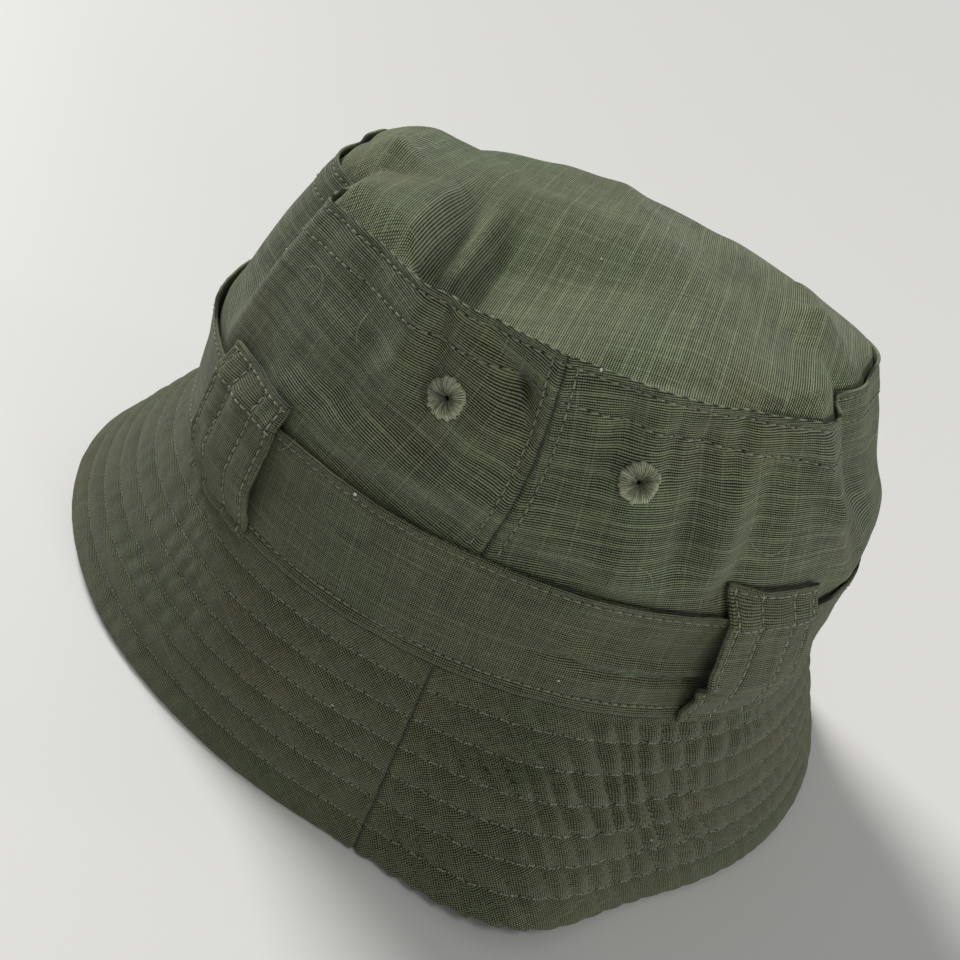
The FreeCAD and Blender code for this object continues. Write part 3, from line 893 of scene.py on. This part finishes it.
def make_loop(name, middle):
    """One strap loop, sewn flat over the band."""
    half = LOOP_WIDTH / 2
    rights = steps_round_rows(-half, half, 0.8, LOOP_ROWS)
    rows = [LOOP_TOP - below for below in LOOP_LEVELS]
    levels = steps_round_rows(LOOP_FOOT + 0.3, LOOP_TOP, 0.8, rows)
    across, z = np.meshgrid(rights, levels, indexing="ij")
    uv = np.stack([across, z], -1)
    shell = cloth_shell(loop_surface(middle)(across, z), LOOP_PLY, uv)
    piece = cloth_piece(f"band_loop_{name}", shell, BAND_CLOTH, "band_cloth")
    sewn(LOOP_WIDTH, LOOP_TOP - LOOP_FOOT + ALLOWANCE)


def make_lining(name, turns, levels, inward, thickness, material, slot):
    """A strip of cloth inside the crown, or a ring of it."""
    ring = turns[-1] - turns[0] > 359
    turn, z = np.meshgrid(turns, steps(*levels, 1.2), indexing="ij")
    uv = np.stack([arc_at(turn, WALL_ARC), z], -1)
    piece = cloth_piece(name, cloth_shell(inside(turn, z, inward), thickness, uv, ring=ring), material, slot)
    middle = inside(turns, np.full_like(turns, sum(levels) / 2), inward)
    around = float(np.linalg.norm(np.diff(middle, axis=0), axis=1).sum())
    height = levels[1] - levels[0]
    if min(height, around) > LEAST_SHEET:
        sewn(height, around)


def lining_levels(node):
    """A lining node's lowest and highest point."""
    low, high = box_mm(node)
    return low[2], high[2]


def make_linings():
    """The sweatband, the tapes over the seams, and the label."""
    whole = steps_round_hat(2.0, WALL_ARC)
    sweat = lining_levels("sweatband")
    make_lining("sweatband", whole, sweat, 1.15, 0.9, LINING_CLOTH, "lining_cloth")
    for side, middle in (("left", 0.0), ("right", 180.0)):
        turns = np.linspace(middle - TAPE_HALF, middle + TAPE_HALF, 14)
        levels = lining_levels(f"side_seam_tape_{side}")
        inward = 2.1 if levels[0] < sweat[1] else 1.1
        make_lining(f"side_seam_tape_{side}", turns, levels, inward, 0.7, TAPE_CLOTH, "tape")
    low, high = lining_levels("top_seam_binding")
    make_lining("top_seam_binding", whole, (low, high - 1.0), 1.9, 1.0, TAPE_CLOTH, "tape")
    turns = np.linspace(90 - LABEL_HALF, 90 + LABEL_HALF, 14)
    make_lining("inner_label", turns, lining_levels("inner_label"), 2.3, 0.5, LABEL_CLOTH, "label")


for half in HALVES:
    make_wall(half)
    make_brim_half(half)
    make_brim_ply(half, "interlining", LAYER, FELT_CLOTH, "interlining", 1.5)
    make_brim_ply(half, "lower", 2 * LAYER, BRIM_CLOTH, "brim_cloth", 1.3)
make_top()
make_band()
for name, middle in LOOP_TURNS.items():
    make_loop(name, middle)
make_linings()


# ---- stitches and eyelets

STITCH_RADIUS = 0.26
STITCH_LIFT = np.array([-1.1, 0.4, 0.9, 0.4, -1.1])  # in thread radii
STITCH_SPAN = np.array([-0.38, -0.26, 0.0, 0.26, 0.38])  # in pitches
PITCH = {"brim": 2.9, "top": 2.7, "band": 2.6, "seam": 2.5}  # from one stitch to the next
HOLE_SIZE = (0.58, 0.34)  # along and across the row
HOLE_TURNS = np.radians(np.arange(0, 360, 45))


def tube_rings(centre, normal, radius):
    """Rings of six points round many paths, with a radius at each step."""
    forward = unit(np.gradient(centre, axis=1))
    beside = np.cross(forward, normal)
    upward = np.cross(beside, forward)
    angles = np.radians(np.arange(0, 360, 60))[:, None]
    rings = beside[:, :, None] * np.cos(angles) + upward[:, :, None] * np.sin(angles)
    return centre[:, :, None] + radius[:, None, None] * rings


def paced(path, pitch):
    """Distances along a path, and how many stitches of a pitch it holds."""
    lengths = np.concatenate([[0.0], np.cumsum(np.linalg.norm(np.diff(path, axis=0), axis=1))])
    return lengths, max(1, int(lengths[-1] / pitch))


def at_distance(along, lengths, turns, levels):
    """The turn and level at a distance along a line."""
    return np.interp(along, lengths, turns), np.interp(along, lengths, levels)


def stitch_tubes(surface, turns, levels, pitch, side):
    """Stitches along a line on a surface, each a short tube that dips in at its ends."""
    lengths, count = paced(surface(turns, levels), pitch)
    number = np.arange(count)[:, None]
    wobble = 0.12 * (lattice(number, count, 61) - 0.5)
    along = (number + 0.5 + wobble + STITCH_SPAN) * lengths[-1] / count
    turn, level = at_distance(along, lengths, turns, levels)
    normal = surface_normal(surface, turn, level, side)
    centre = surface(turn, level) + normal * (STITCH_RADIUS * STITCH_LIFT)[:, None]
    return tube_rings(centre, normal, np.full(len(STITCH_SPAN), STITCH_RADIUS))


def make_stitches(name, runs, material):
    """One object of many rows of stitches."""
    rings = np.concatenate(runs)
    index = np.arange(rings.shape[1] * 6).reshape(-1, 6)
    around = np.roll(index, -1, axis=1)
    sides = np.stack([index[:-1], around[:-1], around[1:], index[1:]], -1).reshape(-1, 4)
    first = index[0]
    last = index[-1]
    caps = np.array([first[[3, 2, 1, 0]], first[[5, 4, 3, 0]], last[[0, 1, 2, 3]], last[[0, 3, 4, 5]]])
    one = np.concatenate([sides, caps])
    faces = (one[None] + (np.arange(len(rings)) * index.size)[:, None, None]).reshape(-1, 4)
    make_mesh(name, rings.reshape(-1, 3), faces, None, material)


def needle_hole_shades(surface, turns, levels, pitch, side):
    """Painted shade for the needle holes between one stitch and the next, as flat dark lenses."""
    lengths, count = paced(surface(turns, levels), pitch)
    along = np.arange(1, count) * lengths[-1] / count
    turn, level = at_distance(along, lengths, turns, levels)
    normal = surface_normal(surface, turn, level, side)
    centre = surface(turn, level)
    ahead = unit(surface(*at_distance(along + 0.3, lengths, turns, levels)) - centre)
    beside = np.cross(ahead, normal)
    rim = ahead[:, None] * HOLE_SIZE[0] * np.cos(HOLE_TURNS)[:, None]
    rim = centre[:, None] + (rim + beside[:, None] * HOLE_SIZE[1] * np.sin(HOLE_TURNS)[:, None])
    return np.concatenate([rim, (centre + 0.07 * normal)[:, None], (centre - 0.3 * normal)[:, None]], 1)


def make_hole_shades(name, lenses):
    """One object of the painted shade of many needle holes."""
    points = np.concatenate(lenses)
    corners = [(i, (i + 1) % 8, 8) for i in range(8)] + [((i + 1) % 8, i, 9) for i in range(8)]
    faces = (np.array(corners)[None] + (np.arange(len(points)) * 10)[:, None, None]).reshape(-1, 3)
    make_mesh(name, points.reshape(-1, 3), faces, None, NEEDLE_HOLE_SHADE)


def level_row(surface, level, kind):
    """A row of stitches round the hat at one level."""
    turns = np.linspace(-180.0, 180.0, 1081)
    return surface, turns, np.full_like(turns, level), PITCH[kind]


def side_rows():
    """The rows of stitches up both sides of the wall's side seams."""
    levels = np.linspace(BAND_Z + 0.5, CROWN_Z - 1.5, 60)
    arcs = (-SIDE_ROW, SIDE_ROW, WALL_ARC[0] + SIDE_ROW, WALL_ARC[-1] - SIDE_ROW)
    turns = [np.interp(arc, WALL_ARC, FINE_TURNS) for arc in arcs]
    return [(wall_cloth, np.full_like(levels, turn), levels, PITCH["seam"]) for turn in turns]


def under_brim(turn, across):
    """The brim's underside."""
    return brim(turn, across, 2 * LAYER + CLOTH)


def loop_stitch_rows():
    """The four upright and two level rows on each strap loop."""
    rows = []
    for middle in LOOP_TURNS.values():
        surface = loop_surface(middle)
        levels = np.linspace(LOOP_FOOT + 1, LOOP_TOP - 0.6, 50)
        rows += [(surface, np.full_like(levels, row), levels, PITCH["band"]) for row in LOOP_ROWS]
        across = np.linspace(-LOOP_WIDTH / 2 + 0.6, LOOP_WIDTH / 2 - 0.6, 40)
        for below in LOOP_LEVELS:
            rows.append((surface, across, np.full_like(across, LOOP_TOP - below), PITCH["band"]))
    return rows


def make_all_stitches():
    """Every row of stitches that shows."""
    wall_rows = [level_row(wall_cloth, CROWN_Z - row, "top") for row in WALL_ROWS]
    groups = {
        "brim": ([level_row(brim, row, "brim") for row in BRIM_ROWS], BRIM_THREAD, 1.0),
        "brim_under": ([level_row(under_brim, row, "brim") for row in BRIM_ROWS], BRIM_THREAD, -1.0),
        "crown": (wall_rows + side_rows(), SEAM_THREAD, 1.0),
        "band": ([level_row(band, row, "band") for row in BAND_ROWS], SEAM_THREAD, 1.0),
        "loop": (loop_stitch_rows(), BRIM_THREAD, 1.0),
    }
    for name, (rows, material, side) in groups.items():
        make_stitches(f"{name}_stitches", [stitch_tubes(*row, side) for row in rows], material)
        make_hole_shades(f"{name}_needle_hole_shades", [needle_hole_shades(*row, side) for row in rows])


EYELET_THREADS = 44
EYELET_SPOKES = 240
# Points across an eyelet's ring, from its hole over the top and back underneath.
EYELET_RADII = np.array([0.55, 0.62, 0.8, 1.1, 1.6, 2.3, 3.0, 3.7, 4.3, 4.75, 5.0, 4.9, 4.4, 3.0, 1.2, 0.6])
EYELET_HEIGHTS = np.array([-0.9, -0.5, -0.2, 0.05, 0.3, 0.62, 0.8, 0.82, 0.66, 0.35, -0.1, -0.9, -1.3, -1.4,
                           -1.4, -1.2])
# How much of the threads' own relief shows at each of those points.
EYELET_RELIEF = np.array([0.0, 0.3, 1, 1, 1, 1, 1, 1, 1, 0.8, 0.5, 0.2, 0, 0, 0, 0])


def eyelet_ring(turn, thread):
    """An eyelet's distance from its middle and its height, at each spoke and point across."""
    number = np.floor(thread + 0.5) % EYELET_THREADS
    ridge = np.abs(np.cos(np.pi * (thread + 0.5)))[:, None]
    reach = 0.97 + 0.13 * (lattice(number, turn, 71) - 0.5)
    stand = 0.36 * (lattice(number, turn, 72) - 0.5)
    radius = EYELET_RADII * np.where(EYELET_RADII > 3.5, reach[:, None], 1.0)
    return radius, EYELET_HEIGHTS + EYELET_RELIEF * (0.38 * (np.sqrt(ridge) - 0.8) + stand[:, None])


def make_eyelet(name, turn):
    """A buttonholed eyelet: radial threads over the edge of a small hole."""
    middle = (np.array([turn]), np.array([EYELET_Z]))
    outward = surface_normal(wall, *middle)[0]
    right = unit(np.cross([0, 0, 1.0], outward))
    upward = np.cross(outward, right)
    angle = np.arange(EYELET_SPOKES) * 2 * np.pi / EYELET_SPOKES
    thread = angle * EYELET_THREADS / (2 * np.pi)
    radius, height = eyelet_ring(turn, thread)
    x = radius * np.cos(angle)[:, None]
    y = radius * np.sin(angle)[:, None]
    points = wall_cloth(*middle)[0] + x[..., None] * right + y[..., None] * upward
    points = points + height[..., None] * outward
    index = np.arange(x.size).reshape(x.shape)
    following = np.roll(index, -1, axis=0)
    corners = [index, np.roll(index, -1, axis=1), np.roll(following, -1, axis=1), following]
    faces = np.stack(corners, -1).reshape(-1, 4)
    uv = np.stack([thread[:, None] + 0 * x, EYELET_RADII + 0 * x], -1).reshape(-1, 2)
    make_mesh(f"eyelet_{name}_thread", points.reshape(-1, 3), faces, uv, EYELET_THREAD, f"eyelet_{name}",
              "eyelet_thread")


def by_distance(surface):
    """A surface whose first coordinate is a distance round the hat."""
    return lambda u, v: surface(u / TURN_MM, v)


def on_top(x, y):
    """The top panel at a level position."""
    turn = np.degrees(np.arctan2(y / CROWN[1], x / CROWN[0]))
    return top_panel(turn, np.hypot(x / CROWN[0], y / CROWN[1]))


on_wall = by_distance(wall_cloth)
on_band = by_distance(band)
on_brim = by_distance(brim)

# Loose hairs: surface, start, heading, length, and how far each curls.
HAIRS = (
    (on_wall, -78, 121, 60, 17, -170),
    (on_wall, -52, 124, -100, 9, 60),
    (on_band, -52, 84, 35, 8, 50),
    (on_wall, 60, 108, -60, 15, 130),
    (on_wall, 28, 99, 20, 10, -90),
    (on_top, 20, 18, 100, 17, -70),
    (on_top, -8, -4, 40, 12, 150),
    (on_top, 40, 30, 160, 9, 200),
    (on_brim, -30, 22, 70, 9, -80),
    (on_brim, 44, 34, 95, 16, -60),
    (on_brim, 78, 18, 40, 12, 110),
    (on_wall, 180, 112, 30, 14, -160),
    (on_top, -30, -20, -30, 11, 120),
)
# Nubs of lint: surface, place, and radius.
NUBS = (
    (on_wall, 8.5, CROWN_Z - 0.3, 0.38),
    (on_band, -29.0, BAND_Z - 0.7, 0.42),
    (on_brim, -16.0, 24.0, 0.3),
    (on_brim, 60.0, 37.0, 0.3),
    (on_top, 12.0, -2.0, 0.3),
    (on_wall, -96.0, 118.0, 0.4),
    (on_band, 26.0, 62.0, 0.3),
)


def hair(surface, u, v, heading, length, curl):
    """A fine hair lying on a surface, its ends touching it."""
    along = np.linspace(0.0, 1.0, 30)
    angle = np.radians(heading + curl * along)
    path_u = u + np.cumsum(np.cos(angle)) * length / len(along)
    path_v = v + np.cumsum(np.sin(angle)) * length / len(along)
    normal = surface_normal(surface, path_u, path_v)
    stand = 0.1 + 0.4 * np.sin(np.pi * along) ** 2
    centre = surface(path_u, path_v) + normal * stand[:, None]
    return tube_rings(centre[None], normal[None], np.full(len(along), 0.05))


def nub(surface, u, v, radius):
    """A small ball of lint on a surface."""
    along = np.linspace(-0.95, 0.95, 7)
    place = np.full(7, u) + along * radius
    normal = surface_normal(surface, place, np.full(7, v))
    centre = surface(place, np.full(7, v)) + normal * 0.5 * radius
    bulge = radius * np.sqrt(1 - along ** 2) * (1 + 0.25 * noise(along * 3 + u, along * 0, 81))
    return tube_rings(centre[None], normal[None], bulge)


make_all_stitches()
for name, turn in EYELET_TURNS.items():
    make_eyelet(name, turn)
make_stitches("loose_hairs", [hair(*one) for one in HAIRS], HAIR)
make_stitches("lint_nubs", [nub(*one) for one in NUBS], LINT)


# ---- stage, light and camera

def make_floor():
    """A plain pale floor under the hat."""
    material, _, shader = new_material("pale floor")
    set_inputs(shader, {"Base Color": (0.88, 0.87, 0.855, 1), "Roughness": 0.6})
    data = bpy.data.meshes.new("floor")
    corners = [(x, y, FLOOR_Z) for x, y in ((-40, -40), (40, -40), (40, 40), (-40, 40))]
    data.from_pydata(corners, [], [(0, 1, 2, 3)])
    data.materials.append(material)
    place_object("floor", data)


def sun_light(name, bearing, height, spread, strength, colour):
    """A broad even light from a bearing and height."""
    data = bpy.data.lights.new(name, "SUN")
    data.angle = radians(spread)
    data.energy = strength
    data.color = colour
    place_object(name, data).rotation_euler = Euler((0, radians(90 - height), radians(bearing)))


def make_lights():
    """Soft light from both sides and above, and a weak even light all round."""
    sun_light("left window", 232, 35, 18, 2.75, (1.0, 1.0, 0.98))
    sun_light("right window", 98, 2, 8, 1.05, (1.0, 1.0, 0.98))
    sun_light("overhead", 20, 64, 14, 0.42, (1.0, 0.99, 0.97))
    sun_light("front wall", 50, 4, 10, 0.62, (1.0, 1.0, 0.98))
    world = bpy.data.worlds.new("room")
    world.use_nodes = True
    set_inputs(world.node_tree.nodes["Background"], {"Color": (0.93, 0.95, 0.95, 1), "Strength": 0.20})
    SCENE.world = world


CAMERA_ANGLES = (2.12, 33.67, 22.36)  # bearing, height and roll
CAMERA_PLACE = np.array([266.7, 0.0, 229.6])
CAMERA_LENS = 37.5


def make_camera():
    """A camera at the wearer's left, looking down and rolled to one side."""
    bearing, height, roll = (radians(angle) for angle in CAMERA_ANGLES)
    right = np.array([-sin(bearing), cos(bearing), 0.0])
    level = np.array([cos(bearing), sin(bearing), 0.0])
    back = level * cos(height) + np.array([0.0, 0.0, sin(height)])
    up = np.cross(back, right)
    rolled_right = right * cos(roll) + up * sin(roll)
    rolled_up = up * cos(roll) - right * sin(roll)
    data = bpy.data.cameras.new("camera")
    data.sensor_width = 36.0
    data.lens = CAMERA_LENS
    data.clip_start = 0.01
    camera = place_object("camera", data)
    turned = np.stack([rolled_right, rolled_up, back, CAMERA_PLACE * MM], 1)
    camera.matrix_world = Matrix([*turned.tolist(), [0, 0, 0, 1]])
    SCENE.camera = camera


SCENE.view_settings.view_transform = "Standard"
FLOOR_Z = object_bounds()[0][2]
make_floor()
make_lights()
make_camera()
